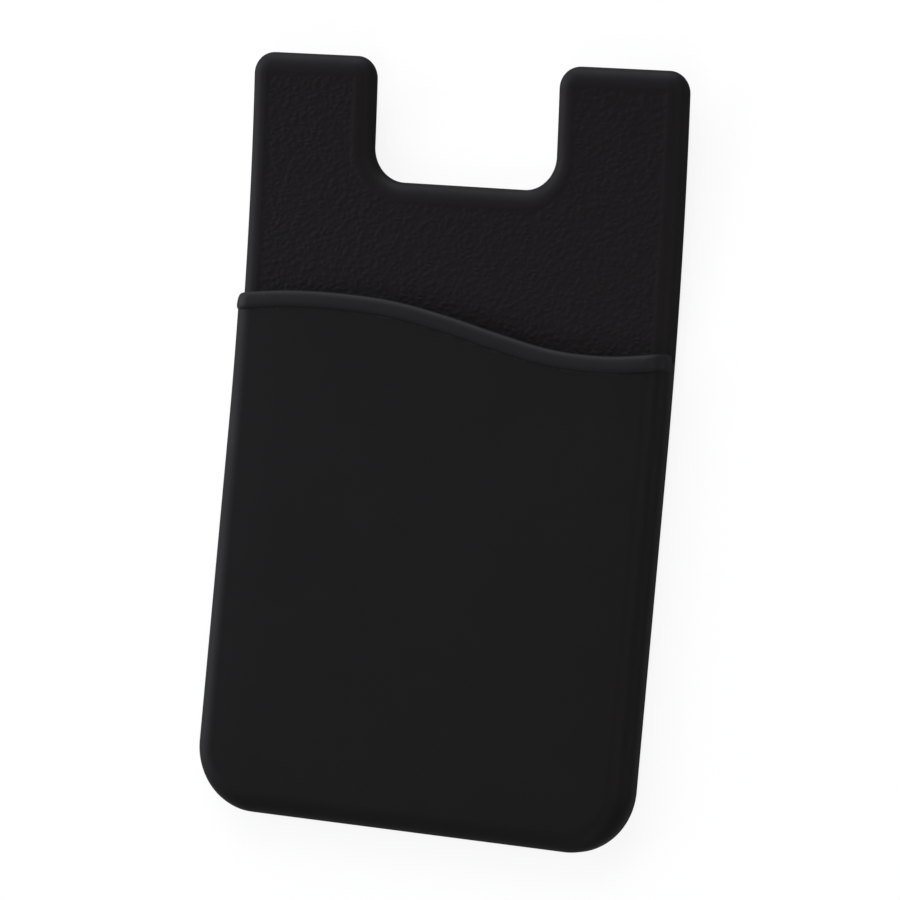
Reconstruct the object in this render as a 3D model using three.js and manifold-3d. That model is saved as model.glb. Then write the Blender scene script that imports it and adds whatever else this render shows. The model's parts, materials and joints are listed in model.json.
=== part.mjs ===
// Stick-on phone card holder, in millimetres.
// X runs across its width, +Y towards the two lugs and +Z out of its front. It lies on its back.
// Each piece is made flat, and everything above the middle is then curled forward by one bend.

import * as THREE from 'three';
import { mergeVertices } from 'three/addons/utils/BufferGeometryUtils.js';
import Module from 'manifold-3d';

const wasm = await Module();
wasm.setup();

// Back panel
const panelWidth = 57;
const panelHeight = 92;
const panelThickness = 1.6;
const bottomCornerRadius = 7.9;
const panelEdgeWidth = 2.1;
const panelEdgeDepth = 1.3;

// Finger notch between the two lugs
const notchWidth = 24.05;
const notchDepth = 14.85;
const notchCornerRadius = 4.1;
const lugCornerRadius = 2.65;

// Card slot, open at its mouth, and the pocket walls around it
const slotDepth = 1.06;
const slotSideWall = 1.3;
const slotBottomWall = 1.5;
const pocketWall = 0.95;
const pocketEdgeRadius = 2.2;

// Pocket mouth: its lowest height above the bottom edge, and how far its wave rises above that
const mouthHeight = 57.18;
const mouthRise = 5.2;
// The wave as shares of that rise, at even steps from the left side to the right side
const mouthWave = [0.827, 0.973, 0.998, 0.91, 0.662, 0.335, 0.063, 0.015, 0.167];

// Rolled rim along the mouth: a band that stands proud of the pocket at its heel, leans down to its
// lip at the mouth, and stands less proud on the sides
const rimWidth = 2.15;
const rimHeelProud = 0.4;
const rimLipProud = 0.1;
const rimHeelRadius = 0.2;
const rimLipRadius = 0.4;
const rimSideShare = 0.35;
const rimOverlap = 0.15;
const rimEndHeight = 1.1;

// Adhesive pad on the back, and the paper liner over it
const padThickness = 0.3;
const padMargin = 2.5;
const padCornerRadius = 4.5;
const linerThickness = 0.15;
const linerOverhang = 0.5;

// Forward curl of everything above curlStart, which is a height above the bottom edge
const curlStart = 46;
const curlAngle = THREE.MathUtils.degToRad(8.5);

// Fineness of round shapes: corners take twice their half count
const cornerHalfSteps = 3;
const rimRoundSteps = 3;
const rimFaceSteps = 3;
const edgeSegments = 3;
const mouthSegments = 28;
const rimSteps = 60;
const curlSteps = 8;
// Cutting shapes reach this far past what they cut
const cutterReach = 5;
// Points this close to a bend line are moved onto it
const bendLineSnap = 0.02;

const halfWidth = panelWidth / 2;
const halfHeight = panelHeight / 2;
const pocketHeight = panelThickness + slotDepth + pocketWall;

// Shapes and solids

/** Rectangle with its own radius at the bottom corners and at the top corners. */
function roundedRectangle(left, bottom, right, top, bottomRadius, topRadius) {
  const shape = new THREE.Shape();
  shape.moveTo(left + bottomRadius, bottom);
  shape.lineTo(right - bottomRadius, bottom);
  shape.absarc(right - bottomRadius, bottom + bottomRadius, bottomRadius, -Math.PI / 2, 0);
  shape.lineTo(right, top - topRadius);
  shape.absarc(right - topRadius, top - topRadius, topRadius, 0, Math.PI / 2);
  shape.lineTo(left + topRadius, top);
  shape.absarc(left + topRadius, top - topRadius, topRadius, Math.PI / 2, Math.PI);
  shape.lineTo(left, bottom + bottomRadius);
  shape.absarc(left + bottomRadius, bottom + bottomRadius, bottomRadius, Math.PI, 1.5 * Math.PI);
  return shape;
}

/** Outline of the back panel, with the finger notch between its two lugs. */
function panelOutline() {
  const notchHalf = notchWidth / 2;
  const notchBottom = halfHeight - notchDepth;
  const bottom = bottomCornerRadius;
  const lug = lugCornerRadius;
  const notch = notchCornerRadius;
  const shape = new THREE.Shape();
  shape.moveTo(-halfWidth + bottom, -halfHeight);
  shape.lineTo(halfWidth - bottom, -halfHeight);
  shape.absarc(halfWidth - bottom, -halfHeight + bottom, bottom, -Math.PI / 2, 0);
  shape.lineTo(halfWidth, halfHeight - lug);
  shape.absarc(halfWidth - lug, halfHeight - lug, lug, 0, Math.PI / 2);
  shape.lineTo(notchHalf + lug, halfHeight);
  shape.absarc(notchHalf + lug, halfHeight - lug, lug, Math.PI / 2, Math.PI);
  shape.lineTo(notchHalf, notchBottom + notch);
  shape.absarc(notchHalf - notch, notchBottom + notch, notch, 0, -Math.PI / 2, true);
  shape.lineTo(-notchHalf + notch, notchBottom);
  shape.absarc(-notchHalf + notch, notchBottom + notch, notch, -Math.PI / 2, -Math.PI, true);
  shape.lineTo(-notchHalf, halfHeight - lug);
  shape.absarc(-notchHalf - lug, halfHeight - lug, lug, 0, Math.PI / 2);
  shape.lineTo(-halfWidth + lug, halfHeight);
  shape.absarc(-halfWidth + lug, halfHeight - lug, lug, Math.PI / 2, Math.PI);
  shape.lineTo(-halfWidth, -halfHeight + bottom);
  shape.absarc(-halfWidth + bottom, -halfHeight + bottom, bottom, Math.PI, 1.5 * Math.PI);
  return shape;
}

/** A closed geometry as a solid that can be joined and cut. */
function solidOf(geometry) {
  const bare = geometry.clone();
  bare.deleteAttribute('normal');
  bare.deleteAttribute('uv');
  const merged = mergeVertices(bare);
  return new wasm.Manifold(new wasm.Mesh({
    numProp: 3,
    vertProperties: Float32Array.from(merged.attributes.position.array),
    triVerts: Uint32Array.from(merged.index.array),
  }));
}

/** A shape as a straight prism from one height to another. */
function prism(shape, bottom, top) {
  const settings = { depth: top - bottom, bevelEnabled: false, curveSegments: cornerHalfSteps };
  return solidOf(new THREE.ExtrudeGeometry(shape, settings).translate(0, 0, bottom));
}

/** A slab with a sharp flat back at height 0 and a rounded edge around its front. */
function slab(shape, height, edgeWidth, edgeDepth) {
  const geometry = new THREE.ExtrudeGeometry(shape, {
    depth: height,
    bevelThickness: edgeDepth,
    bevelSize: edgeWidth,
    bevelOffset: -edgeWidth,
    bevelSegments: edgeSegments,
    curveSegments: cornerHalfSteps,
  });
  geometry.translate(0, 0, -edgeDepth);
  const reachX = halfWidth + cutterReach;
  const reachY = halfHeight + cutterReach;
  const below = roundedRectangle(-reachX, -reachY, reachX, reachY, cutterReach, cutterReach);
  return solidOf(geometry).subtract(prism(below, -2 * edgeDepth - cutterReach, 0));
}

// Pocket mouth

const mouthPlaces = mouthWave.map((_, i) => panelWidth * (i / (mouthWave.length - 1) - 0.5));
const mouthHeights = mouthWave.map((share) => mouthHeight - halfHeight + mouthRise * share);
const mouthLine = new THREE.CubicInterpolant(mouthPlaces, mouthHeights, 1);

/** Height of the mouth across the width. */
function mouthAt(x) {
  return mouthLine.evaluate(x)[0];
}

/** Everything above the mouth line, as an outline. */
function aboveMouth() {
  const shape = new THREE.Shape();
  const reach = halfWidth + cutterReach;
  shape.moveTo(reach, halfHeight + cutterReach);
  shape.lineTo(-reach, halfHeight + cutterReach);
  shape.lineTo(-reach, mouthAt(-halfWidth));
  for (let i = 0; i <= mouthSegments; i++) {
    const x = panelWidth * (i / mouthSegments - 0.5);
    shape.lineTo(x, mouthAt(x));
  }
  shape.lineTo(reach, mouthAt(halfWidth));
  return shape;
}

/**
 * Section of the rim where it stands proud by a share of its full height. Each point is its way
 * towards the mouth and its way out of the surface, counter-clockwise from the heel's foot.
 */
function rimSection(share) {
  const half = rimWidth / 2;
  const foot = -pocketWall - rimOverlap;
  const heel = rimHeelProud * share;
  const lip = rimLipProud * share;
  const points = [[-half, foot], [half, foot]];
  for (let i = 0; i <= rimRoundSteps; i++) {
    const angle = Math.PI / 2 * i / rimRoundSteps;
    const along = half - rimLipRadius * (1 - Math.cos(angle));
    points.push([along, lip - rimLipRadius * (1 - Math.sin(angle))]);
  }
  for (let i = 1; i < rimFaceSteps; i++) {
    const f = i / rimFaceSteps;
    const along = THREE.MathUtils.lerp(half - rimLipRadius, -half + rimHeelRadius, f);
    points.push([along, lip + (heel - lip) * f * (2 - f)]);
  }
  for (let i = 0; i <= rimRoundSteps; i++) {
    const angle = Math.PI / 2 * i / rimRoundSteps;
    const along = -half + rimHeelRadius * (1 - Math.sin(angle));
    points.push([along, heel - rimHeelRadius * (1 - Math.cos(angle))]);
  }
  return points;
}

/** Place on the pocket's surface at a share of the rim's run, with the direction out of it. */
function rimStation(t) {
  const side = pocketHeight - pocketEdgeRadius - rimEndHeight;
  const arc = pocketEdgeRadius * Math.PI / 2;
  const front = halfWidth - pocketEdgeRadius;
  const travel = (side + arc + front) * Math.abs(2 * t - 1);
  const onArc = THREE.MathUtils.clamp((travel - front) / arc, 0, 1);
  const angle = onArc * Math.PI / 2;
  const hand = t < 0.5 ? -1 : 1;
  const x = hand * (Math.min(travel, front) + pocketEdgeRadius * Math.sin(angle));
  const drop = pocketEdgeRadius * (1 - Math.cos(angle)) + Math.max(travel - front - arc, 0);
  return {
    place: new THREE.Vector3(x, mouthAt(x), pocketHeight - drop),
    out: new THREE.Vector3(hand * Math.sin(angle), 0, Math.cos(angle)),
    share: THREE.MathUtils.lerp(1, rimSideShare, onArc),
  };
}

function rim() {
  const stations = [];
  for (let i = 0; i <= rimSteps; i++) stations.push(rimStation(i / rimSteps));
  const places = [];
  stations.forEach(({ place, out, share }, i) => {
    const before = stations[Math.max(i - 1, 0)].place;
    const after = stations[Math.min(i + 1, rimSteps)].place;
    const toMouth = out.clone().cross(after.clone().sub(before)).normalize();
    for (const [along, outwards] of rimSection(share)) {
      const point = place.clone().addScaledVector(toMouth, along).addScaledVector(out, outwards);
      places.push(...point.toArray());
    }
  });
  const sides = rimSection(1).length;
  const last = rimSteps * sides;
  const triangles = [];
  for (let i = 0; i < rimSteps; i++) {
    for (let k = 0; k < sides; k++) {
      const a = i * sides + k;
      const b = i * sides + (k + 1) % sides;
      triangles.push(a, b, b + sides, a, b + sides, a + sides);
    }
  }
  // The two flat ends are fans from the heel's foot
  for (let k = 1; k + 1 < sides; k++) triangles.push(0, k + 1, k, last, last + k, last + k + 1);
  const geometry = new THREE.BufferGeometry();
  geometry.setAttribute('position', new THREE.Float32BufferAttribute(places, 3));
  geometry.setIndex(triangles);
  return solidOf(geometry);
}

// The moulded body: panel, pocket and rim in one piece

function pocketBody() {
  const edgeWidth = Math.min(panelEdgeWidth, 0.9 * lugCornerRadius);
  const edgeDepth = Math.min(panelEdgeDepth, 0.9 * panelThickness);
  const panel = slab(panelOutline(), panelThickness, edgeWidth, edgeDepth);

  const pocketOutline = roundedRectangle(
    -halfWidth, -halfHeight, halfWidth, halfHeight, bottomCornerRadius, bottomCornerRadius);
  const mouthCut = prism(aboveMouth(), -cutterReach, pocketHeight + cutterReach);
  const pocket = slab(pocketOutline, pocketHeight, pocketEdgeRadius, pocketEdgeRadius);

  const slotOutline = roundedRectangle(
    -halfWidth + slotSideWall,
    -halfHeight + slotBottomWall,
    halfWidth - slotSideWall,
    halfHeight + cutterReach,
    bottomCornerRadius - slotSideWall,
    bottomCornerRadius - slotSideWall);
  const slot = prism(slotOutline, panelThickness, panelThickness + slotDepth);

  return pocket.subtract(mouthCut).add(panel).add(rim()).subtract(slot);
}

// Flat sheets on the back

const padTop = halfHeight - notchDepth - padMargin;

/** A sheet of the pad's outline, grown by an overhang, with its upper face at a given height. */
function backSheet(overhang, top, thickness) {
  const inset = padMargin - overhang;
  const radius = padCornerRadius + overhang;
  const shape = roundedRectangle(
    -halfWidth + inset, -halfHeight + inset, halfWidth - inset, padTop + overhang, radius, radius);
  return prism(shape, top - thickness, top);
}

// Curl

const curlLength = panelHeight - curlStart;
const curlRadius = curlLength / curlAngle;
const curlFoot = curlStart - halfHeight;
const bendLines = [];
for (let i = 0; i <= curlSteps; i++) {
  const turn = curlAngle * i / curlSteps;
  const rise = curlRadius * (1 - Math.cos(turn));
  bendLines.push({
    y: curlFoot + curlLength * i / curlSteps,
    point: new THREE.Vector2(curlFoot + curlRadius * Math.sin(turn), rise),
    normal: new THREE.Vector2(-Math.sin(turn), Math.cos(turn)),
  });
}

/** Where a point of the flat sheet lies once it is curled. */
function curled(y, z) {
  if (y <= bendLines[0].y) return new THREE.Vector2(y, z);
  const next = bendLines.findIndex((line) => y <= line.y);
  const step = next > 0 ? next : curlSteps;
  const a = bendLines[step - 1];
  const b = bendLines[step];
  const low = a.point.clone().addScaledVector(a.normal, z);
  const high = b.point.clone().addScaledVector(b.normal, z);
  return low.lerp(high, (y - a.y) / (b.y - a.y));
}

/** Splits every triangle that crosses a height, along that height. */
function splitAt(height, points, triangles) {
  for (const point of points) {
    if (Math.abs(point[1] - height) < bendLineSnap) point[1] = height;
  }
  const cuts = new Map();
  const cut = (i, j) => {
    const key = i < j ? `${i} ${j}` : `${j} ${i}`;
    if (!cuts.has(key)) {
      const [a, b] = i < j ? [points[i], points[j]] : [points[j], points[i]];
      const f = (height - a[1]) / (b[1] - a[1]);
      points.push([a[0] + f * (b[0] - a[0]), height, a[2] + f * (b[2] - a[2])]);
      cuts.set(key, points.length - 1);
    }
    return cuts.get(key);
  };
  const split = [];
  for (const triangle of triangles) {
    const sides = triangle.map((i) => Math.sign(points[i][1] - height));
    if (!(sides.includes(1) && sides.includes(-1))) {
      split.push(triangle);
      continue;
    }
    // Turned so that the first corner is on the line, or is alone on its side of it
    const first = sides.includes(0)
      ? sides.indexOf(0)
      : sides.findIndex((side) => sides.filter((other) => other === side).length === 1);
    const [a, b, c] = [0, 1, 2].map((k) => triangle[(first + k) % 3]);
    if (sides.includes(0)) {
      const middle = cut(b, c);
      split.push([a, b, middle], [a, middle, c]);
    } else {
      const ab = cut(a, b);
      const ac = cut(a, c);
      split.push([a, ab, ac], [ab, b, c], [ab, c, ac]);
    }
  }
  return split;
}

/** The solid's surface, curled forward above the first bend line. */
function curledGeometry(solid) {
  const mesh = solid.getMesh();
  const points = [];
  for (let i = 0; i < mesh.numVert; i++) {
    points.push(Array.from(mesh.vertProperties.subarray(i * mesh.numProp, i * mesh.numProp + 3)));
  }
  let triangles = [];
  for (let i = 0; i < mesh.numTri; i++) {
    triangles.push(Array.from(mesh.triVerts.subarray(3 * i, 3 * i + 3)));
  }
  for (const line of bendLines) triangles = splitAt(line.y, points, triangles);

  const geometry = new THREE.BufferGeometry();
  const places = points.flatMap(([x, y, z]) => [x, ...curled(y, z).toArray()]);
  geometry.setAttribute('position', new THREE.Float32BufferAttribute(places, 3));
  geometry.setIndex(triangles.flat());
  geometry.computeVertexNormals();
  return geometry;
}

// Materials, with the colours of the real surfaces

const silicone = new THREE.MeshStandardMaterial({ color: '#1d1b1c', roughness: 0.6, metalness: 0 });
const adhesive = new THREE.MeshStandardMaterial({ color: '#d9d6cc', roughness: 0.4, metalness: 0 });
const paper = new THREE.MeshStandardMaterial({ color: '#efece4', roughness: 0.7, metalness: 0 });

// Assembly, with the middle of the curled outline over the origin and the liner's face at height 0

const highestPoint = curled(halfHeight, 0).x;
const holder = new THREE.Group();
holder.position.set(0, (halfHeight - highestPoint) / 2, padThickness + linerThickness);

function addPiece(name, solid, material) {
  const mesh = new THREE.Mesh(curledGeometry(solid), material);
  mesh.name = name;
  holder.add(mesh);
}

addPiece('pocket_body', pocketBody(), silicone);
addPiece('adhesive_sheet', backSheet(0, 0, padThickness), adhesive);
addPiece('release_liner', backSheet(linerOverhang, -padThickness, linerThickness), paper);

const part = new THREE.Group();
part.add(holder);

export default part;
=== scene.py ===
# %% [markdown]
# A stick-on phone card holder, finished in Blender
#
# The object is one moulded piece of black silicone: a thin back panel with a U-shaped finger
# notch, a flat card pocket on its front and a rolled rim along the pocket's wavy mouth. On its
# back are an adhesive pad and the paper that covers it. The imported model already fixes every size
# and place, so this lesson only makes the surfaces finer, and gives them their finish and light.

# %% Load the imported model
import json
import math
import bmesh
import bpy
from mathutils import Euler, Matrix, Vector
from mathutils.geometry import delaunay_2d_cdt

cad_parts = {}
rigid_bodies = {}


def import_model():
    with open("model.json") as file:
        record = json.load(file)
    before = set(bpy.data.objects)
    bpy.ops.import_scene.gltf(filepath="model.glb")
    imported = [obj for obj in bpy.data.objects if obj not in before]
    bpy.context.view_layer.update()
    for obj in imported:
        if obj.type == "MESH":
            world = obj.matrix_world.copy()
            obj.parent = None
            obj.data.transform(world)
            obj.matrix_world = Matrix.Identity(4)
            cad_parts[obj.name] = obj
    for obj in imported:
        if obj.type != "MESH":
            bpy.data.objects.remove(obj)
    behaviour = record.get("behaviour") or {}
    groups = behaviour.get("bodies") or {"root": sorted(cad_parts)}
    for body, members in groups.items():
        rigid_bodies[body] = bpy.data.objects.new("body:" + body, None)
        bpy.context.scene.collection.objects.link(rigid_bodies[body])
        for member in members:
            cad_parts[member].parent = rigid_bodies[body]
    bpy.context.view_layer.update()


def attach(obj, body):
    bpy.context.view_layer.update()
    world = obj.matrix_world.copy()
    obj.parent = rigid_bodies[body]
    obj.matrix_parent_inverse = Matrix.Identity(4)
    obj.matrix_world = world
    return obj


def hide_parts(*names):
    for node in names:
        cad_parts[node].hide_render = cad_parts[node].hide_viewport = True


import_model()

# %% [markdown]
# Sizes
#
# The sizes of the moulded solid, in millimetres. Only the pocket's front edge is rounded over a
# little more width here, as the photograph's soft highlight shows. The holder is modelled flat,
# with its middle over the origin and its back at height 0. It could be modelled in its curled
# shape from the start, but outlines, walls and booleans are far simpler on a flat sheet, and one
# bend at the end curls all of it alike.

# %% Sizes of the moulded body
MM = 0.001
PANEL_WIDTH = 57.0
PANEL_HEIGHT = 92.0
PANEL_THICKNESS = 1.6
BOTTOM_CORNER_RADIUS = 7.9
PANEL_EDGE_WIDTH = 2.1
PANEL_EDGE_DEPTH = 1.3
NOTCH_WIDTH = 24.05
NOTCH_DEPTH = 14.85
NOTCH_CORNER_RADIUS = 4.1
LUG_CORNER_RADIUS = 2.65
SLOT_DEPTH = 1.06
SLOT_SIDE_WALL = 1.3
SLOT_BOTTOM_WALL = 1.5
POCKET_WALL = 0.95
POCKET_EDGE_RADIUS = 2.2
POCKET_EDGE_WIDTH = 2.6
CURL_START = 46.0
CURL_ANGLE = math.radians(8.5)

half_width = PANEL_WIDTH / 2
half_height = PANEL_HEIGHT / 2
pocket_height = PANEL_THICKNESS + SLOT_DEPTH + POCKET_WALL
print("Pocket front at", round(pocket_height, 2), "mm above the back")

# %% [markdown]
# The camera
#
# The photograph looks down on the holder from a little to its right, through a long lens: opposite
# edges are almost parallel. The camera could be pointed by eye. Here its place and angles were
# worked out from the edges of the outline, so the render can be laid over the photograph.

# %% Camera
PHOTO_PIXELS = 900
FOCAL_PIXELS = 4449.5
CAMERA_PLACE = (225.6, -3.45, 480.4)
CAMERA_ANGLES = (2.786, 24.961, 5.779)
PAD_THICKNESS = 0.3
LINER_THICKNESS = 0.15

curl_length = PANEL_HEIGHT - CURL_START
curl_radius = curl_length / CURL_ANGLE
curl_foot = CURL_START - half_height
highest_point = curl_foot + curl_radius * math.sin(CURL_ANGLE)
# From the flat sheet's frame to the part's own frame
LIFT = Vector((0.0, (half_height - highest_point) / 2, PAD_THICKNESS + LINER_THICKNESS))

camera_data = bpy.data.cameras.new("photo_camera")
camera_data.sensor_width = 36.0
camera_data.lens = camera_data.sensor_width * FOCAL_PIXELS / PHOTO_PIXELS
camera_data.clip_start = 0.01
camera = bpy.data.objects.new("photo_camera", camera_data)
camera.location = (Vector(CAMERA_PLACE) + LIFT) * MM
camera.rotation_euler = Euler([math.radians(a) for a in CAMERA_ANGLES])
bpy.context.scene.collection.objects.link(camera)
bpy.context.scene.camera = camera
print("Lens", round(camera_data.lens, 1), "mm at", [round(c, 4) for c in camera.location])

# %% [markdown]
# Outlines with round corners
#
# Every flat shape here is a loop of round corners joined by straight sides. A corner knows its
# centre, its radius and whether it bulges out or bites in. Moving the whole outline inwards then
# only changes the radii, so the rings of a rounded edge match each other point for point. A bevel
# modifier could round the edge too, but it can't give an oval section twice as wide as deep.

# %% Outline helper
POINT_SPACING = 0.6


def outline(corners, inset=0.0, spacing=POINT_SPACING):
    """Points of a counter-clockwise outline; each corner is (x, y, radius, first angle, turn)."""
    arcs, counts = [], []
    for x, y, radius, start, turn in corners:
        steps = max(6, round(abs(math.radians(turn)) * radius / (0.5 * spacing)))
        moved = radius - inset if turn > 0 else radius + inset
        angles = [math.radians(start + turn * i / steps) for i in range(steps + 1)]
        arcs.append([(x + moved * math.cos(a), y + moved * math.sin(a)) for a in angles])
    for k, (x, y, radius, start, turn) in enumerate(corners):
        end = math.radians(start + turn)
        following = corners[(k + 1) % len(corners)]
        first = math.radians(following[3])
        a = Vector((x + radius * math.cos(end), y + radius * math.sin(end)))
        b = Vector((following[0] + following[2] * math.cos(first),
                    following[1] + following[2] * math.sin(first)))
        counts.append(max(1, round((b - a).length / spacing)))
    points = []
    for k, arc in enumerate(arcs):
        points += arc
        (ax, ay), (bx, by) = arc[-1], arcs[(k + 1) % len(arcs)][0]
        for i in range(1, counts[k]):
            f = i / counts[k]
            points.append((ax + f * (bx - ax), ay + f * (by - ay)))
    return points


def rectangle(left, bottom, right, top, bottom_radius, top_radius):
    """Corners of an upright rectangle."""
    return [
        (right - bottom_radius, bottom + bottom_radius, bottom_radius, -90, 90),
        (right - top_radius, top - top_radius, top_radius, 0, 90),
        (left + top_radius, top - top_radius, top_radius, 90, 90),
        (left + bottom_radius, bottom + bottom_radius, bottom_radius, 180, 90),
    ]


def panel_corners():
    """Corners of the back panel, with the finger notch between its two lugs."""
    side, top = half_width, half_height
    notch, lug, bottom = NOTCH_WIDTH / 2, LUG_CORNER_RADIUS, BOTTOM_CORNER_RADIUS
    bite = NOTCH_CORNER_RADIUS
    floor = top - NOTCH_DEPTH
    return [
        (side - bottom, -top + bottom, bottom, -90, 90),
        (side - lug, top - lug, lug, 0, 90),
        (notch + lug, top - lug, lug, 90, 90),
        (notch - bite, floor + bite, bite, 0, -90),
        (-notch + bite, floor + bite, bite, -90, -90),
        (-notch - lug, top - lug, lug, 0, 90),
        (-side + lug, top - lug, lug, 90, 90),
        (-side + bottom, -top + bottom, bottom, 180, 90),
    ]


print("Panel outline has", len(outline(panel_corners())), "points")

# %% [markdown]
# A slab with a rounded front edge
#
# Both the panel and the pocket are slabs. A slab is a stack of rings, from a barely broken back
# edge, up the side and over the rounded front edge, with a lid at each end. Each lid is filled by
# a Delaunay triangulation, which takes any loose points inside it as well, so a lid can be coarse
# where it is plain and very fine where it will carry a grain. Filling with one big polygon would
# leave nothing to shape.

# %% Slab helper
# Steps of a rounded edge, size of a barely broken one, and the plain strip inside a lid's border
EDGE_STEPS = 9
BACK_EDGE = 0.06
GUARD = 0.08


def triangulated(ring, inner):
    """Points and triangles of a lid inside a ring; the ring's points come first, in order."""
    points = [Vector(p) for p in ring] + [Vector(p) for p in inner]
    loop = [list(range(len(ring)))]
    placed, _, faces, originals, _, _ = delaunay_2d_cdt(points, [], loop, 1, 1e-7)
    number = {}
    for new, olds in enumerate(originals):
        for old in olds:
            number[new] = old
    extra = len(points)
    for new in range(len(placed)):
        if new not in number:
            number[new] = extra
            points.append(placed[new])
            extra += 1
    return points, [[number[i] for i in face] for face in faces]


def hexagonal_points(box, spacing, keep):
    """Evenly spread points inside a box for which keep(x, y) is true."""
    left, bottom, right, top = box
    found = []
    row_step = spacing * math.sqrt(3) / 2
    for row in range(int((top - bottom) / row_step) + 1):
        y = bottom + row * row_step
        for column in range(int((right - left) / spacing) + 1):
            x = left + (column + 0.5 * (row % 2)) * spacing
            if keep(x, y):
                found.append((x, y))
    return found


def slab(name, corners, base, top, edge_width, edge_depth, front_points, back_points, lid=None,
         back_edge=BACK_EDGE):
    """A closed mesh in millimetres; lid(x, y) is how far the front stands above its height."""
    rings = [(back_edge, base), (0.3 * back_edge, base + 0.3 * back_edge), (0.0, base + back_edge)]
    for i in range(EDGE_STEPS + 1):
        angle = math.pi / 2 * i / EDGE_STEPS
        inset = edge_width * (1 - math.cos(angle))
        rings.append((inset, top - edge_depth + edge_depth * math.sin(angle)))
    rings.append((edge_width + GUARD, top))
    loops = [outline(corners, inset) for inset, _ in rings]
    count = len(loops[0])
    vertices = [(x, y, z) for loop, (_, z) in zip(loops, rings) for x, y in loop]
    faces = []
    for ring in range(len(rings) - 1):
        low, high = ring * count, (ring + 1) * count
        for i in range(count):
            j = (i + 1) % count
            faces.append([low + i, low + j, high + j, high + i])
    last = (len(rings) - 1) * count
    for first, inner, z, up in ((last, front_points, top, True), (0, back_points, base, False)):
        loop = loops[-1] if up else loops[0]
        points, triangles = triangulated(loop, inner)
        added = len(vertices) - count
        for x, y in points[count:]:
            rise = lid(x, y) if up and lid else 0.0
            vertices.append((x, y, z + rise))
        for triangle in triangles:
            a, b, c = [i + first if i < count else i + added for i in triangle]
            faces.append([a, b, c] if up else [a, c, b])
    mesh = bpy.data.meshes.new(name)
    mesh.from_pydata(vertices, [], faces)
    mesh.update()
    piece = bpy.data.objects.new(name, mesh)
    bpy.context.scene.collection.objects.link(piece)
    return piece


print("A rounded edge takes", EDGE_STEPS, "steps")

# %% [markdown]
# The back panel
#
# The flap above the pocket is pressed with a fine leather grain, so its lid gets a point every
# fifth of a millimetre there and almost none under the pocket. A grain painted with a bump map
# alone would vanish at the outline and in the exported mesh. A point attribute named grain says
# how strongly each point is pressed: fully on the flap, fading out towards the smooth rolled edge.

# %% Panel mesh
GRAIN_SPACING = 0.2
# The pocket hides the panel below this height above the middle
GRAIN_FROM = 9.5
GRAIN_FADE = 0.5
BACK_SPACING = 2.2
NEAR_FRONT = 0.9 * PANEL_THICKNESS


def rounded_distance(x, y, left, bottom, right, top, radius):
    """Signed distance to a round-cornered rectangle, negative inside."""
    cx, cy = (left + right) / 2, (bottom + top) / 2
    dx = abs(x - cx) - (right - left) / 2 + radius
    dy = abs(y - cy) - (top - bottom) / 2 + radius
    return math.hypot(max(dx, 0), max(dy, 0)) + min(max(dx, dy), 0) - radius


def depth_in_panel(x, y):
    """How far inside the panel's outline a point lies, in millimetres; negative outside."""
    side, top, notch = half_width, half_height, NOTCH_WIDTH / 2
    lug, bite = LUG_CORNER_RADIUS, NOTCH_CORNER_RADIUS
    whole = -rounded_distance(x, y, -side, -top, side, top, lug)
    gap = rounded_distance(x, y, -notch, top - NOTCH_DEPTH, notch, top + 3 * bite, bite)
    depth = min(whole, gap)
    # The lug's inner corner, where the notch opens out
    cx, cy = notch + lug, top - lug
    if y > cy and notch < abs(x) < cx:
        depth = min(depth, lug - math.hypot(abs(x) - cx, y - cy))
    return depth


def on_flap(x, y):
    return depth_in_panel(x, y) > PANEL_EDGE_WIDTH + GUARD + 0.6 * GRAIN_SPACING


def on_back(x, y):
    """Well inside the whole outline, its large bottom corners too."""
    corner = -rounded_distance(x, y, -half_width, -half_height, half_width, 3 * half_height,
                               BOTTOM_CORNER_RADIUS)
    return min(depth_in_panel(x, y), corner) > 0.5 * BACK_SPACING


flap_box = (-half_width, GRAIN_FROM, half_width, half_height)
flap_points = hexagonal_points(flap_box, GRAIN_SPACING, on_flap)
whole_box = (-half_width, -half_height, half_width, half_height)
panel = slab("panel", panel_corners(), 0.0, PANEL_THICKNESS, PANEL_EDGE_WIDTH, PANEL_EDGE_DEPTH,
             flap_points, hexagonal_points(whole_box, BACK_SPACING, on_back))
grain = panel.data.attributes.new("grain", "FLOAT", "POINT")
for vertex, value in zip(panel.data.vertices, grain.data):
    x, y, z = vertex.co
    inside = depth_in_panel(x, y) - PANEL_EDGE_WIDTH - GUARD
    if z > NEAR_FRONT and y > GRAIN_FROM and inside > 0:
        value.value = min(1.0, inside / GRAIN_FADE)
print("Panel:", len(panel.data.vertices), "points,", len(flap_points), "of them on the flap")

# %% [markdown]
# The leather grain, in Geometry Nodes
#
# A grain repeats over a surface, which is what Geometry Nodes are for. Voronoi cells, squeezed so
# that they are wider than tall and bent by a little noise, give the pebbles; the distance to each
# cell's edge gives the creases between them. Set Position then presses the creases in by the grain
# attribute. Sculpting it by hand would take hours and could not be tuned afterwards.

# %% Node helpers


def add(tree, kind, **settings):
    node = tree.nodes.new(kind)
    for key, value in settings.items():
        setattr(node, key, value)
    return node


def link(tree, source, target):
    tree.links.new(source, target)


def socket(tree, name, kind, value=None, output=False):
    made = tree.interface.new_socket(name=name, in_out="OUTPUT" if output else "INPUT",
                                     socket_type=kind)
    if value is not None:
        made.default_value = value
    return made


def tree_with_geometry(name):
    tree = bpy.data.node_groups.new(name, "GeometryNodeTree")
    socket(tree, "Geometry", "NodeSocketGeometry")
    socket(tree, "Geometry", "NodeSocketGeometry", output=True)
    return tree, add(tree, "NodeGroupInput"), add(tree, "NodeGroupOutput")


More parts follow.
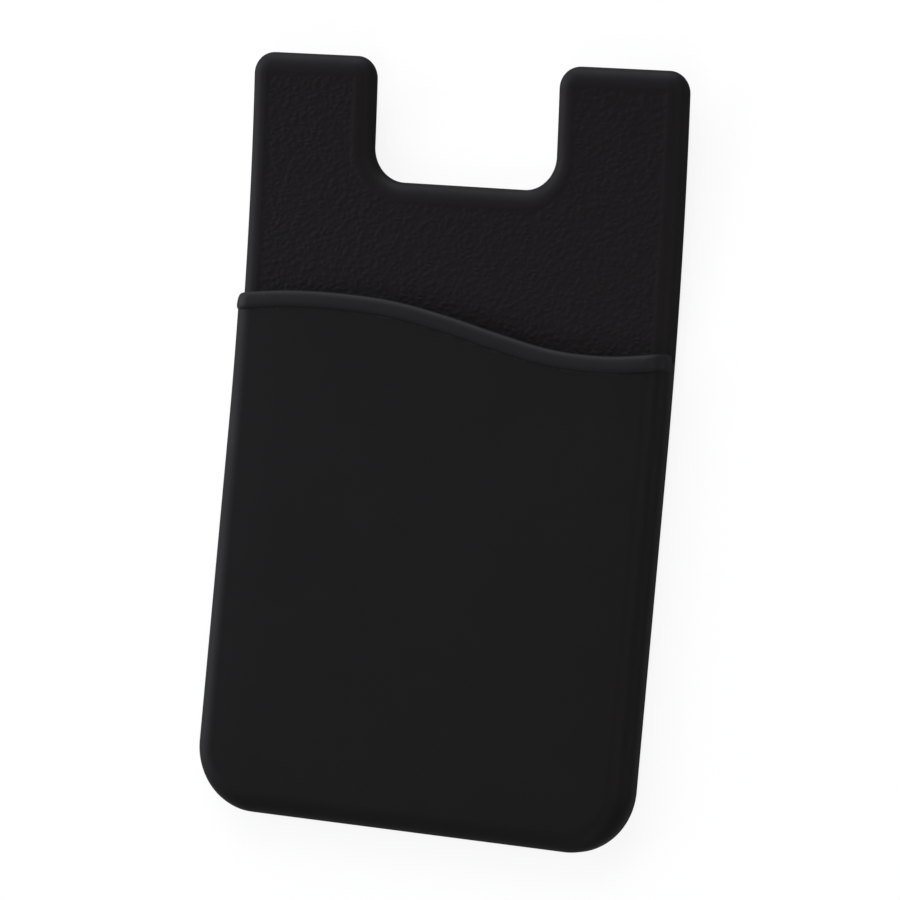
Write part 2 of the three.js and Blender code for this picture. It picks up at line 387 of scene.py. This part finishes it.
def math_node(tree, operation, a, b=None, kind="ShaderNodeMath"):
    node = add(tree, kind, operation=operation)
    for place, value in enumerate((a, b)):
        if value is None:
            continue
        if isinstance(value, bpy.types.NodeSocket):
            link(tree, value, node.inputs[place])
        else:
            node.inputs[place].default_value = value
    return node.outputs[0]


def baked(piece, tree, values):
    """Runs a tree on a piece with the given inputs and returns the result as a plain mesh."""
    modifier = piece.modifiers.new(tree.name, "NODES")
    modifier.node_group = tree
    identifiers = {item.name: item.identifier for item in tree.interface.items_tree
                   if item.in_out == "INPUT"}
    for name, value in values.items():
        modifier[identifiers[name]] = value
    graph = bpy.context.evaluated_depsgraph_get()
    mesh = bpy.data.meshes.new_from_object(piece.evaluated_get(graph))
    piece.modifiers.remove(modifier)
    return mesh


print("Node trees are built in Blender", bpy.app.version_string)

# %% Leather grain tree
WANDER_SCALE = 0.9
# So long in depth that the cells don't change through the lid
CELL_DEPTH = 1000.0
GRAIN_DEPTH = 0.075
grain_tree, grain_in, grain_out = tree_with_geometry("leather_grain")
for name, value in (("Pebble width", 0.88), ("Pebble height", 0.38), ("Depth", GRAIN_DEPTH),
                    ("Crease width", 0.25), ("Wander", 0.2), ("Seed", 3.0)):
    socket(grain_tree, name, "NodeSocketFloat", value)
socket(grain_tree, "Material", "NodeSocketMaterial")
place = add(grain_tree, "GeometryNodeInputPosition").outputs[0]
noise = add(grain_tree, "ShaderNodeTexNoise", noise_dimensions="3D")
noise.inputs["Scale"].default_value = WANDER_SCALE
noise.inputs["Detail"].default_value = 2.0
link(grain_tree, place, noise.inputs["Vector"])
wander = add(grain_tree, "ShaderNodeVectorMath", operation="SCALE")
link(grain_tree, noise.outputs["Color"], wander.inputs[0])
link(grain_tree, math_node(grain_tree, "MULTIPLY", grain_in.outputs["Wander"], 2.0),
     wander.inputs["Scale"])
bent = math_node(grain_tree, "ADD", place, wander.outputs[0], "ShaderNodeVectorMath")
sizes = add(grain_tree, "ShaderNodeCombineXYZ")
link(grain_tree, grain_in.outputs["Pebble width"], sizes.inputs[0])
link(grain_tree, grain_in.outputs["Pebble height"], sizes.inputs[1])
sizes.inputs[2].default_value = CELL_DEPTH
squeezed = math_node(grain_tree, "DIVIDE", bent, sizes.outputs[0], "ShaderNodeVectorMath")
cells = add(grain_tree, "ShaderNodeTexVoronoi", feature="DISTANCE_TO_EDGE", voronoi_dimensions="4D")
link(grain_tree, squeezed, cells.inputs["Vector"])
link(grain_tree, grain_in.outputs["Seed"], cells.inputs["W"])
cells.inputs["Scale"].default_value = 1.0
dome = add(grain_tree, "ShaderNodeMapRange", interpolation_type="SMOOTHSTEP")
link(grain_tree, cells.outputs["Distance"], dome.inputs["Value"])
link(grain_tree, grain_in.outputs["Crease width"], dome.inputs["From Max"])
dome.inputs["To Min"].default_value = -1.0
dome.inputs["To Max"].default_value = 0.0
mask = add(grain_tree, "GeometryNodeInputNamedAttribute", data_type="FLOAT")
mask.inputs["Name"].default_value = "grain"
pressed = math_node(grain_tree, "MULTIPLY", dome.outputs["Result"], mask.outputs["Attribute"])
drop = math_node(grain_tree, "MULTIPLY", pressed, grain_in.outputs["Depth"])
offset = add(grain_tree, "ShaderNodeCombineXYZ")
link(grain_tree, drop, offset.inputs[2])
lifted = add(grain_tree, "GeometryNodeSetPosition")
link(grain_tree, grain_in.outputs["Geometry"], lifted.inputs["Geometry"])
link(grain_tree, offset.outputs[0], lifted.inputs["Offset"])
realized = add(grain_tree, "GeometryNodeRealizeInstances")
link(grain_tree, lifted.outputs[0], realized.inputs[0])
grain_finish = add(grain_tree, "GeometryNodeSetMaterial")
link(grain_tree, realized.outputs[0], grain_finish.inputs["Geometry"])
link(grain_tree, grain_in.outputs["Material"], grain_finish.inputs["Material"])
link(grain_tree, grain_finish.outputs[0], grain_out.inputs[0])

silicone_grained = bpy.data.materials.new("silicone_grained")
panel.data = baked(panel, grain_tree, {"Depth": GRAIN_DEPTH, "Material": silicone_grained})
print("Grained panel:", len(panel.data.polygons), "faces")

# %% [markdown]
# The pocket
#
# The pocket's front wall is only a millimetre of silicone, and it comes out of the mould very
# slightly crowned: it still rises a little just inside the rounded edge, and only then lies flat.
# The front lid gets that crown from a formula. A subdivision surface could swell it too, but it
# would also shrink the outline.

# %% Pocket mesh
CROWN = 0.08
CROWN_REACH = 5.0
OVER_PANEL = 0.01
POCKET_SPACING = 0.9


def crown(x, y):
    """How far the pocket's front rises above its edges."""
    edge = -rounded_distance(x, y, -half_width, -half_height, half_width, 3 * half_height,
                             BOTTOM_CORNER_RADIUS)
    across = min(max((edge - POCKET_EDGE_WIDTH) / CROWN_REACH, 0.0), 1.0)
    return CROWN * (1 - (1 - across) ** 2)


def on_pocket(x, y):
    edge = -rounded_distance(x, y, -half_width, -half_height, half_width, half_height,
                             BOTTOM_CORNER_RADIUS)
    return edge > POCKET_EDGE_WIDTH + 0.4


pocket_corners = rectangle(-half_width - OVER_PANEL, -half_height - OVER_PANEL,
                           half_width + OVER_PANEL, half_height + OVER_PANEL,
                           BOTTOM_CORNER_RADIUS + OVER_PANEL, BOTTOM_CORNER_RADIUS)
pocket = slab("pocket", pocket_corners, 0.5 * BACK_EDGE, pocket_height, POCKET_EDGE_WIDTH,
              POCKET_EDGE_RADIUS, hexagonal_points(whole_box, POCKET_SPACING, on_pocket), [], crown)
print("Pocket slab:", len(pocket.data.polygons), "faces")

# %% [markdown]
# The wavy mouth and its rolled rim
#
# The mouth starts high on the left, falls in one long S and ends low on the right. A smooth curve
# through a few heights gives that line, and everything above it is cut away from the pocket. The
# rim is a thick round lip that follows the same line, runs over both rounded side edges and fades
# into the sides. It follows a path, so Geometry Nodes sweep a section along it: each path point
# carries the direction that faces out of the surface, so the section can't twist.

# %% Mouth line
MOUTH_HEIGHT = 57.18
MOUTH_RISE = 5.2
MOUTH_WAVE = (0.827, 0.973, 0.998, 0.91, 0.662, 0.335, 0.063, 0.015, 0.167)


def mouth_at(x):
    """Height of the mouth line across the width, by a cubic through even steps."""
    last = len(MOUTH_WAVE) - 1
    step = min(max((x / PANEL_WIDTH + 0.5) * last, 0.0), last - 1e-9)
    i = int(step)
    f = step - i
    share = [MOUTH_WAVE[i], MOUTH_WAVE[i + 1]]
    slopes = []
    for k in (i, i + 1):
        before, after = max(k - 1, 0), min(k + 1, last)
        slopes.append((MOUTH_WAVE[after] - MOUTH_WAVE[before]) / (after - before))
    wave = (share[0] * (1 + 2 * f) * (1 - f) ** 2 + slopes[0] * f * (1 - f) ** 2
            + share[1] * f * f * (3 - 2 * f) + slopes[1] * f * f * (f - 1))
    return MOUTH_HEIGHT - half_height + MOUTH_RISE * wave


print("Mouth heights:", [round(mouth_at(x), 2) for x in (-half_width, 0, half_width)])

# %% Rim path
RIM_WIDTH = 2.15
RIM_HEEL_PROUD = 0.32
RIM_LIP_PROUD = 0.05
RIM_SIDE_SHARE = 0.35
RIM_OVERLAP = 0.15
RIM_END_HEIGHT = 1.1
RIM_POINTS = 240

front_run = half_width - POCKET_EDGE_RADIUS
arc_run = POCKET_EDGE_RADIUS * math.pi / 2
side_run = pocket_height - POCKET_EDGE_RADIUS - RIM_END_HEIGHT
half_run = front_run + arc_run + side_run

rim_path = bpy.data.meshes.new("rim_path")
rim_places, rim_facing = [], []
for i in range(RIM_POINTS + 1):
    signed = half_run * (2 * i / RIM_POINTS - 1)
    travel, hand = abs(signed), math.copysign(1, signed)
    on_arc = min(max((travel - front_run) / arc_run, 0), 1)
    angle = on_arc * math.pi / 2
    across = min(travel, front_run) + POCKET_EDGE_RADIUS * math.sin(angle)
    drop = POCKET_EDGE_RADIUS * (1 - math.cos(angle)) + max(travel - front_run - arc_run, 0)
    sunk = RIM_HEEL_PROUD * (1 - RIM_SIDE_SHARE) * on_arc
    x = hand * (across - sunk * math.sin(angle))
    rim_places.append((x, mouth_at(hand * across), pocket_height - drop - sunk * math.cos(angle)))
    rim_facing.append((hand * math.sin(angle), 0, math.cos(angle)))
rim_path.from_pydata(rim_places, [(i, i + 1) for i in range(RIM_POINTS)], [])
facing = rim_path.attributes.new("facing", "FLOAT_VECTOR", "POINT")
facing.data.foreach_set("vector", [part for direction in rim_facing for part in direction])
rim = bpy.data.objects.new("rim", rim_path)
bpy.context.scene.collection.objects.link(rim)
print("Rim path:", RIM_POINTS, "steps,", round(2 * half_run, 1), "mm long")

# %% Rolled rim tree
rim_tree, rim_in, rim_out = tree_with_geometry("rolled_rim")
for name, value in (("Width", RIM_WIDTH), ("Heel", RIM_HEEL_PROUD), ("Lip", RIM_LIP_PROUD),
                    ("Depth", POCKET_WALL + RIM_OVERLAP), ("Boxiness", 3.4)):
    socket(rim_tree, name, "NodeSocketFloat", value)
socket(rim_tree, "Sides", "NodeSocketInt", 72)
socket(rim_tree, "Material", "NodeSocketMaterial")
curve = add(rim_tree, "GeometryNodeMeshToCurve")
link(rim_tree, rim_in.outputs["Geometry"], curve.inputs[0])
outward = add(rim_tree, "GeometryNodeInputNamedAttribute", data_type="FLOAT_VECTOR")
outward.inputs["Name"].default_value = "facing"
turned = add(rim_tree, "GeometryNodeSetCurveNormal")
turned.mode = "FREE"
link(rim_tree, curve.outputs[0], turned.inputs["Curve"])
link(rim_tree, outward.outputs["Attribute"], turned.inputs["Normal"])
profile = add(rim_tree, "GeometryNodeCurvePrimitiveCircle", mode="RADIUS")
link(rim_tree, rim_in.outputs["Sides"], profile.inputs["Resolution"])
profile.inputs["Radius"].default_value = 1.0
spot = add(rim_tree, "GeometryNodeInputPosition")
around = add(rim_tree, "ShaderNodeSeparateXYZ")
link(rim_tree, spot.outputs[0], around.inputs[0])
power = math_node(rim_tree, "DIVIDE", 2.0, rim_in.outputs["Boxiness"])


def boxy(value):
    """Pushes a circle's coordinate outwards, which makes the circle a rounded rectangle."""
    size = math_node(rim_tree, "POWER", math_node(rim_tree, "ABSOLUTE", value), power)
    return math_node(rim_tree, "MULTIPLY", math_node(rim_tree, "SIGN", value), size)


out_share, way = boxy(around.outputs["X"]), boxy(around.outputs["Y"])
along = math_node(rim_tree, "MULTIPLY", way,
                  math_node(rim_tree, "MULTIPLY", rim_in.outputs["Width"], 0.5))
to_lip = math_node(rim_tree, "MULTIPLY", math_node(rim_tree, "SUBTRACT", 1.0, way), 0.5)
lean = math_node(rim_tree, "SUBTRACT", rim_in.outputs["Heel"], rim_in.outputs["Lip"])
drop = math_node(rim_tree, "MULTIPLY", lean, math_node(rim_tree, "MULTIPLY", to_lip, to_lip))
full = math_node(rim_tree, "ADD", rim_in.outputs["Heel"], rim_in.outputs["Depth"])
tall = math_node(rim_tree, "SUBTRACT", full, drop)
rise = math_node(rim_tree, "MULTIPLY", math_node(rim_tree, "ADD", out_share, 1.0), 0.5)
outwards = math_node(rim_tree, "SUBTRACT", math_node(rim_tree, "MULTIPLY", rise, tall),
                     rim_in.outputs["Depth"])
section = add(rim_tree, "ShaderNodeCombineXYZ")
link(rim_tree, outwards, section.inputs[0])
link(rim_tree, along, section.inputs[1])
shaped = add(rim_tree, "GeometryNodeSetPosition")
link(rim_tree, profile.outputs[0], shaped.inputs["Geometry"])
link(rim_tree, section.outputs[0], shaped.inputs["Position"])
swept = add(rim_tree, "GeometryNodeCurveToMesh")
link(rim_tree, turned.outputs[0], swept.inputs["Curve"])
link(rim_tree, shaped.outputs[0], swept.inputs["Profile Curve"])
swept.inputs["Fill Caps"].default_value = True
rim_real = add(rim_tree, "GeometryNodeRealizeInstances")
link(rim_tree, swept.outputs[0], rim_real.inputs[0])
rim_finish = add(rim_tree, "GeometryNodeSetMaterial")
link(rim_tree, rim_real.outputs[0], rim_finish.inputs["Geometry"])
link(rim_tree, rim_in.outputs["Material"], rim_finish.inputs["Material"])
link(rim_tree, rim_finish.outputs[0], rim_out.inputs[0])

# The rim's material; its lighter colour, set below, is a painted highlight
silicone_rim_painted_highlight = bpy.data.materials.new("silicone_rim_painted_highlight")
rim.data = baked(rim, rim_tree, {"Material": silicone_rim_painted_highlight})


def facing_out(piece):
    """Turns every face of a closed mesh outwards."""
    shell = bmesh.new()
    shell.from_mesh(piece.data)
    bmesh.ops.remove_doubles(shell, verts=shell.verts, dist=1e-5)
    bmesh.ops.recalc_face_normals(shell, faces=shell.faces)
    shell.to_mesh(piece.data)
    shell.free()


facing_out(rim)
low = [round(min(v.co[k] for v in rim.data.vertices), 2) for k in range(3)]
high = [round(max(v.co[k] for v in rim.data.vertices), 2) for k in range(3)]
print("Rim:", len(rim.data.polygons), "faces, from", low, "to", high)

# %% [markdown]
# One moulded body
#
# Panel, pocket and rim come out of the mould as one piece, so here they are joined into one closed
# surface: the pocket loses everything above its mouth, the panel and the rim are added, and the
# card slot is cut out last, so that it also cuts cleanly under the rim. Simply overlapping the
# pieces would look alike from far off, but would leave walls inside the silicone.

# %% Cutting shapes
REACH = 5.0
SLOT_LIFT = 0.004
MOUTH_STEPS = 240

line = [half_width * (2 * i / MOUTH_STEPS - 1) for i in range(MOUTH_STEPS + 1)]
loop = [(-half_width - REACH, mouth_at(-half_width))] + [(x, mouth_at(x)) for x in line]
loop += [(half_width + REACH, mouth_at(half_width)), (half_width + REACH, half_height + REACH)]
loop += [(-half_width - REACH, half_height + REACH)]
count = len(loop)
levels = (-REACH, pocket_height + REACH)
mouth_mesh = bpy.data.meshes.new("above_mouth")
sides = [[i, (i + 1) % count, count + (i + 1) % count, count + i] for i in range(count)]
lids = [list(range(count))[::-1], list(range(count, 2 * count))]
mouth_mesh.from_pydata([(x, y, z) for z in levels for x, y in loop], [], sides + lids)
above_mouth = bpy.data.objects.new("above_mouth", mouth_mesh)
bpy.context.scene.collection.objects.link(above_mouth)

SLOT_TOP = 23.0
SLOT_MARGIN = 1.2
SLOT_SPACING = 2.2
SLOT_EDGE = 0.25
slot_sides = (half_width - SLOT_SIDE_WALL, half_height - SLOT_BOTTOM_WALL)
slot_radius = BOTTOM_CORNER_RADIUS - SLOT_SIDE_WALL
slot_corners = rectangle(-slot_sides[0], -slot_sides[1], slot_sides[0], SLOT_TOP, slot_radius, 1.0)


def in_slot(x, y):
    left, top = slot_sides
    return rounded_distance(x, y, -left, -top, left, SLOT_TOP, 1.0) < -SLOT_MARGIN and (
        rounded_distance(x, y, -left, -top, left, 3 * SLOT_TOP, slot_radius) < -SLOT_MARGIN)


slot_box = (-slot_sides[0], -slot_sides[1], slot_sides[0], SLOT_TOP)
slot_points = hexagonal_points(slot_box, SLOT_SPACING, in_slot)
slot = slab("slot", slot_corners, PANEL_THICKNESS + SLOT_LIFT, PANEL_THICKNESS + SLOT_DEPTH,
            SLOT_EDGE, SLOT_EDGE, slot_points, slot_points)
print("Card slot:", round(2 * slot_sides[0], 1), "mm wide and", SLOT_DEPTH, "mm deep")

# %% Join and cut


def combined(piece, tool, operation):
    """Joins a tool to a piece, or cuts it out, and removes the tool."""
    modifier = piece.modifiers.new(operation, "BOOLEAN")
    modifier.operation = operation
    modifier.solver = "MANIFOLD"
    modifier.object = tool
    graph = bpy.context.evaluated_depsgraph_get()
    mesh = bpy.data.meshes.new_from_object(piece.evaluated_get(graph))
    piece.modifiers.remove(modifier)
    piece.data = mesh
    bpy.data.objects.remove(tool)


def open_edges(mesh):
    """How many edges don't have exactly two faces; a closed surface has none."""
    shell = bmesh.new()
    shell.from_mesh(mesh)
    found = sum(1 for edge in shell.edges if len(edge.link_faces) != 2)
    shell.free()
    return found


combined(pocket, above_mouth, "DIFFERENCE")
combined(pocket, panel, "UNION")
combined(pocket, rim, "UNION")
combined(pocket, slot, "DIFFERENCE")
print("Moulded body:", len(pocket.data.polygons), "faces,", open_edges(pocket.data), "open edges")

# %% [markdown]
# Skin of the silicone, as a node group
#
# Moulded silicone is never one flat colour. It is mottled very faintly by the mould, a little
# rougher in some places than in others, and its skin has a fine matt texture. One shader node
# group makes all three from Object coordinates, and each finish of the holder sets its own
# values. Separate nodes in each material would drift apart when one of them is tuned.

# %% Skin group
MM_PER_METRE = 1000.0
skin = bpy.data.node_groups.new("moulded_skin", "ShaderNodeTree")
for name, kind, value in (("Color", "NodeSocketColor", (0.01, 0.01, 0.01, 1.0)),
                          ("Mottle", "NodeSocketFloat", 0.2),
                          ("Mottle size", "NodeSocketFloat", 4.0),
                          ("Roughness", "NodeSocketFloat", 0.55),
                          ("Roughness spread", "NodeSocketFloat", 0.1),
                          ("Skin size", "NodeSocketFloat", 0.15)):
    socket(skin, name, kind, value)
socket(skin, "Color", "NodeSocketColor", output=True)
socket(skin, "Roughness", "NodeSocketFloat", output=True)
socket(skin, "Height", "NodeSocketFloat", output=True)
skin_in, skin_out = add(skin, "NodeGroupInput"), add(skin, "NodeGroupOutput")
spot = add(skin, "ShaderNodeTexCoord").outputs["Object"]


def noise_of(tree, place, size_in_mm, detail):
    """Noise whose blotches are as many millimetres across as the given socket says."""
    texture = add(tree, "ShaderNodeTexNoise", noise_dimensions="3D")
    texture.inputs["Detail"].default_value = detail
    link(tree, place, texture.inputs["Vector"])
    link(tree, math_node(tree, "DIVIDE", MM_PER_METRE, size_in_mm), texture.inputs["Scale"])
    return texture.outputs["Fac"]


blotches = noise_of(skin, spot, skin_in.outputs["Mottle size"], 3.0)
fine = noise_of(skin, spot, skin_in.outputs["Skin size"], 4.0)
swing = math_node(skin, "MULTIPLY", math_node(skin, "SUBTRACT", blotches, 0.5), 2.0)
shade = math_node(skin, "ADD", math_node(skin, "MULTIPLY", swing, skin_in.outputs["Mottle"]), 1.0)
tinted = add(skin, "ShaderNodeVectorMath", operation="SCALE")
link(skin, skin_in.outputs["Color"], tinted.inputs[0])
link(skin, shade, tinted.inputs["Scale"])
link(skin, tinted.outputs[0], skin_out.inputs["Color"])
both = math_node(skin, "ADD", swing, math_node(skin, "SUBTRACT", fine, 0.5))
spread = math_node(skin, "MULTIPLY", both, skin_in.outputs["Roughness spread"])
rough = math_node(skin, "ADD", skin_in.outputs["Roughness"], spread)
link(skin, rough, skin_out.inputs["Roughness"])
link(skin, fine, skin_out.inputs["Height"])
print("Skin group:", len(skin.nodes), "nodes")

# %% [markdown]
# The finishes
#
# The same black silicone shows three finishes. The flap is pressed with leather grain and looks
# driest. The pocket and the rounded edges come from a smooth matt mould wall. The rim is a little
# glossier, and its colour is a lighter copy of the silicone's: a painted highlight for the light
# the rim catches. The pad is pale and slightly glossy, and its liner is plain white paper. Each
# gets a material of its own around the one skin group.

# %% Materials


def finish(material, color, roughness, gloss, mottle, mottle_size, spread, skin_size, bump):
    """A matt moulded material around the skin group; gloss is the specular level."""
    material.use_nodes = True
    tree = material.node_tree
    tree.nodes.clear()
    output = add(tree, "ShaderNodeOutputMaterial")
    surface = add(tree, "ShaderNodeBsdfPrincipled")
    surface.inputs["Specular IOR Level"].default_value = gloss
    link(tree, surface.outputs[0], output.inputs["Surface"])
    layer = add(tree, "ShaderNodeGroup")
    layer.node_tree = skin
    for name, value in (("Color", (*color, 1.0)), ("Mottle", mottle), ("Mottle size", mottle_size),
                        ("Roughness", roughness), ("Roughness spread", spread),
                        ("Skin size", skin_size)):
        layer.inputs[name].default_value = value
    relief = add(tree, "ShaderNodeBump")
    relief.inputs["Strength"].default_value = 1.0
    relief.inputs["Distance"].default_value = bump * MM
    link(tree, layer.outputs["Height"], relief.inputs["Height"])
    link(tree, relief.outputs["Normal"], surface.inputs["Normal"])
    link(tree, layer.outputs["Color"], surface.inputs["Base Color"])
    link(tree, layer.outputs["Roughness"], surface.inputs["Roughness"])
    return material


silicone_smooth = finish(bpy.data.materials.new("silicone_smooth"), (0.0053, 0.0045, 0.0046),
                         0.55, 0.09, 0.05, 6.0, 0.06, 0.12, 0.003)
finish(silicone_grained, (0.0058, 0.0047, 0.0050), 0.6, 0.085, 0.12, 2.5, 0.08, 0.3, 0.014)
# The rim's lighter base colour is a painted highlight, not a paler silicone
finish(silicone_rim_painted_highlight, (0.0080, 0.0076, 0.0081), 0.5, 0.1, 0.05, 5.0, 0.06, 0.12, 0.003)
adhesive_film = finish(bpy.data.materials.new("adhesive_film"), (0.68, 0.66, 0.6),
                       0.35, 0.5, 0.05, 3.0, 0.1, 0.2, 0.01)
release_paper = finish(bpy.data.materials.new("release_paper"), (0.84, 0.82, 0.76),
                       0.7, 0.3, 0.04, 1.5, 0.08, 0.08, 0.012)
print("Materials:", [material.name for material in bpy.data.materials])

# %% [markdown]
# Which finish each face has
#
# The body is one mesh, so each face is given its finish by where it lies: grained on the front of
# the flap, the rim's lighter silicone with its painted highlight within half a rim's width of the
# mouth line, and smooth everywhere else. Painting the faces by hand would have to be done again
# after every change of shape.

# %% Sort the body's faces by finish
GRAIN_EDGE = 1.3
LID_TOLERANCE = 0.002
RIM_ABOVE_PANEL = 0.05
SLOPE_STEP = 0.1
pocket.data.materials.clear()
for material in (silicone_smooth, silicone_grained, silicone_rim_painted_highlight):
    pocket.data.materials.append(material)
counts = [0, 0, 0]
for face in pocket.data.polygons:
    x, y, z = face.center
    above = y - mouth_at(x)
    kind = 0
    if face.normal.z > 0.5 and above > 0 and z < PANEL_THICKNESS + LID_TOLERANCE:
        if depth_in_panel(x, y) > GRAIN_EDGE:
            kind = 1
    slope = (mouth_at(x + SLOPE_STEP) - mouth_at(x - SLOPE_STEP)) / (2 * SLOPE_STEP)
    beside = abs(above) / math.hypot(1, slope)
    # Faces along the mouth get the rim's lighter silicone, a painted highlight
    if beside < 0.5 * RIM_WIDTH and z > PANEL_THICKNESS + RIM_ABOVE_PANEL and kind == 0:
        kind = 2
    face.material_index = kind
    counts[kind] += 1
print("Faces with a smooth, grained and rim finish:", counts)

# %% [markdown]
# Pad and liner
#
# The back carries a sheet of double-sided adhesive, die-cut a little smaller than the panel, and
# over it the paper that keeps it clean. Both are thin sheets with barely broken edges, so they are
# slabs as well. The photograph doesn't show them; they are what makes the holder stick on.

# %% Back sheets
PAD_MARGIN = 2.5
PAD_CORNER_RADIUS = 4.5
LINER_OVERHANG = 0.5
SHEET_SPACING = 2.4
SHEET_INNER = 1.2
pad_top = half_height - NOTCH_DEPTH - PAD_MARGIN


def back_sheet(name, overhang, top, thickness, material):
    inset = PAD_MARGIN - overhang
    radius = PAD_CORNER_RADIUS + overhang
    left, bottom, high = half_width - inset, half_height - inset, pad_top + overhang
    inner = hexagonal_points(
        (-left, -bottom, left, high), SHEET_SPACING,
        lambda x, y: rounded_distance(x, y, -left, -bottom, left, high, radius) < -SHEET_INNER)
    corners = rectangle(-left, -bottom, left, high, radius, radius)
    piece = slab(name, corners, top - thickness, top, 0.3 * thickness, 0.3 * thickness,
                 inner, inner, back_edge=0.25 * thickness)
    piece.data.materials.append(material)
    return piece


pad = back_sheet("adhesive_pad", 0.0, 0.0, PAD_THICKNESS, adhesive_film)
liner = back_sheet("paper_liner", LINER_OVERHANG, -PAD_THICKNESS, LINER_THICKNESS, release_paper)
print("Pad and liner:", len(pad.data.polygons), "and", len(liner.data.polygons), "faces")

# %% [markdown]
# The curl
#
# Thin silicone doesn't stay flat: the upper half of the holder lifts off the table in one gentle
# arc. Every point above the middle is turned about the axis of that arc, so lengths along the back
# stay as they were. A Simple Deform modifier could bend it too, but it bends about an object's
# origin and the place of the pad under the panel would have to be matched by eye.

# %% Curl and move into place
SHARP_FROM = math.radians(38)


def curled(point):
    """Where a point of the flat sheet lies on the curled holder, in the part's own frame."""
    x, y, z = point
    run = y - curl_foot
    if run > 0:
        turn = run / curl_radius
        y = curl_foot + (curl_radius - z) * math.sin(turn)
        z = curl_radius - (curl_radius - z) * math.cos(turn)
    return (Vector((x, y, z)) + LIFT) * MM


for piece in (pocket, pad, liner):
    for vertex in piece.data.vertices:
        vertex.co = curled(vertex.co)
    piece.data.shade_smooth()
    piece.data.set_sharp_from_angle(angle=SHARP_FROM)
    piece.data.update()
pocket.name = pocket.data.name = "silicone_holder"
print("Curled by", round(math.degrees(CURL_ANGLE), 1), "degrees")

# %% [markdown]
# Tie the pieces to the imported model
#
# Each finished piece stands for one solid of the imported model and rides on its body.

# %% Ride and replace
for piece, node, slot_name in ((pocket, "pocket_body", "silicone"),
                               (pad, "adhesive_sheet", "adhesive"),
                               (liner, "release_liner", "liner_paper")):
    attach(piece, "root")
    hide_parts(node)
    print(piece.name, "stands for", node)

# %% [markdown]
# Floor and light
#
# The photograph is a cut-out on pure white, lit softly from the top and the left, with weaker light
# from the right, the front and above. The floor is white to the camera through Light Path, so the
# black silicone needs no extra light to get a white background, and it still keeps a faint shadow.
# Turning the lamps up until a plain floor is white would wash the silicone out.

# %% Floor
FLOOR_REACH = 1.5
# Just under the liner, so that the two don't share a surface
FLOOR_HEIGHT = -0.00002
GLOW_SHARE = 0.85
PAINT_FOR_LIGHT = (0.5, 0.5, 0.5, 1.0)
PAINT_FOR_CAMERA = (0.9, 0.9, 0.9, 1.0)

floor_mesh = bpy.data.meshes.new("floor")
ends = (-FLOOR_REACH, FLOOR_REACH)
floor_mesh.from_pydata([(x, y, FLOOR_HEIGHT) for y in ends for x in ends], [], [[0, 1, 3, 2]])
floor_piece = bpy.data.objects.new("floor", floor_mesh)
bpy.context.scene.collection.objects.link(floor_piece)
white = bpy.data.materials.new("white_floor")
white.use_nodes = True
tree = white.node_tree
tree.nodes.clear()
floor_output = add(tree, "ShaderNodeOutputMaterial")
painted = add(tree, "ShaderNodeBsdfDiffuse")
glow = add(tree, "ShaderNodeEmission")
glow.inputs["Color"].default_value = (1.0, 1.0, 1.0, 1.0)
glow.inputs["Strength"].default_value = 1.0
path = add(tree, "ShaderNodeLightPath")
mixed = add(tree, "ShaderNodeMixShader")
seen = math_node(tree, "MULTIPLY", path.outputs["Is Camera Ray"], GLOW_SHARE)
link(tree, seen, mixed.inputs[0])
paint = add(tree, "ShaderNodeMix", data_type="RGBA")
link(tree, path.outputs["Is Camera Ray"], paint.inputs["Factor"])
paint.inputs["A"].default_value = PAINT_FOR_LIGHT
paint.inputs["B"].default_value = PAINT_FOR_CAMERA
link(tree, paint.outputs["Result"], painted.inputs["Color"])
link(tree, painted.outputs[0], mixed.inputs[1])
link(tree, glow.outputs[0], mixed.inputs[2])
link(tree, mixed.outputs[0], floor_output.inputs["Surface"])
floor_mesh.materials.append(white)
print("Floor:", 2 * FLOOR_REACH, "m across")

# %% World and lamps
WORLD_STRENGTH = 0.28
# Name, direction from the holder, distance and size in metres, watts, colour
LAMPS = (
    ("top", (-0.25, 0.9, 0.27), 1.0, 1.1, 18.0, (0.91, 0.92, 1.0)),
    ("left", (-0.95, 0.1, 0.30), 1.0, 0.8, 8.6, (0.91, 0.92, 1.0)),
    ("right", (0.97, 0.05, 0.16), 1.0, 0.32, 1.6, (0.97, 0.97, 1.0)),
    ("front", (0.1, -0.8, 0.6), 1.0, 0.5, 2.4, (0.97, 0.97, 1.0)),
    ("above", (0.45, 0.05, 1.0), 1.4, 0.4, 4.2, (1.0, 0.97, 0.96)),
)

world = bpy.data.worlds.new("studio")
bpy.context.scene.world = world
world.use_nodes = True
tree = world.node_tree
tree.nodes.clear()
world_output = add(tree, "ShaderNodeOutputWorld")
dim = add(tree, "ShaderNodeBackground")
dim.inputs["Color"].default_value = (0.95, 0.97, 1.0, 1.0)
dim.inputs["Strength"].default_value = WORLD_STRENGTH
backdrop = add(tree, "ShaderNodeBackground")
backdrop.inputs["Color"].default_value = (1.0, 1.0, 1.0, 1.0)
backdrop.inputs["Strength"].default_value = 1.0
world_path = add(tree, "ShaderNodeLightPath")
world_mix = add(tree, "ShaderNodeMixShader")
link(tree, world_path.outputs["Is Camera Ray"], world_mix.inputs[0])
link(tree, dim.outputs[0], world_mix.inputs[1])
link(tree, backdrop.outputs[0], world_mix.inputs[2])
link(tree, world_mix.outputs[0], world_output.inputs["Surface"])


def soft_lamp(name, direction, distance, size, power, color):
    """A square soft box that faces the middle of the holder."""
    data = bpy.data.lights.new(name, "AREA")
    data.shape, data.size, data.energy, data.color = "SQUARE", size, power, color
    lamp = bpy.data.objects.new(name, data)
    toward = Vector(direction).normalized()
    lamp.location = toward * distance
    lamp.rotation_euler = toward.to_track_quat("Z", "Y").to_euler()
    bpy.context.scene.collection.objects.link(lamp)


for lamp_values in LAMPS:
    soft_lamp(*lamp_values)
bpy.context.scene.view_settings.view_transform = "Standard"
print("Lamps:", [data.name for data in bpy.data.lights])
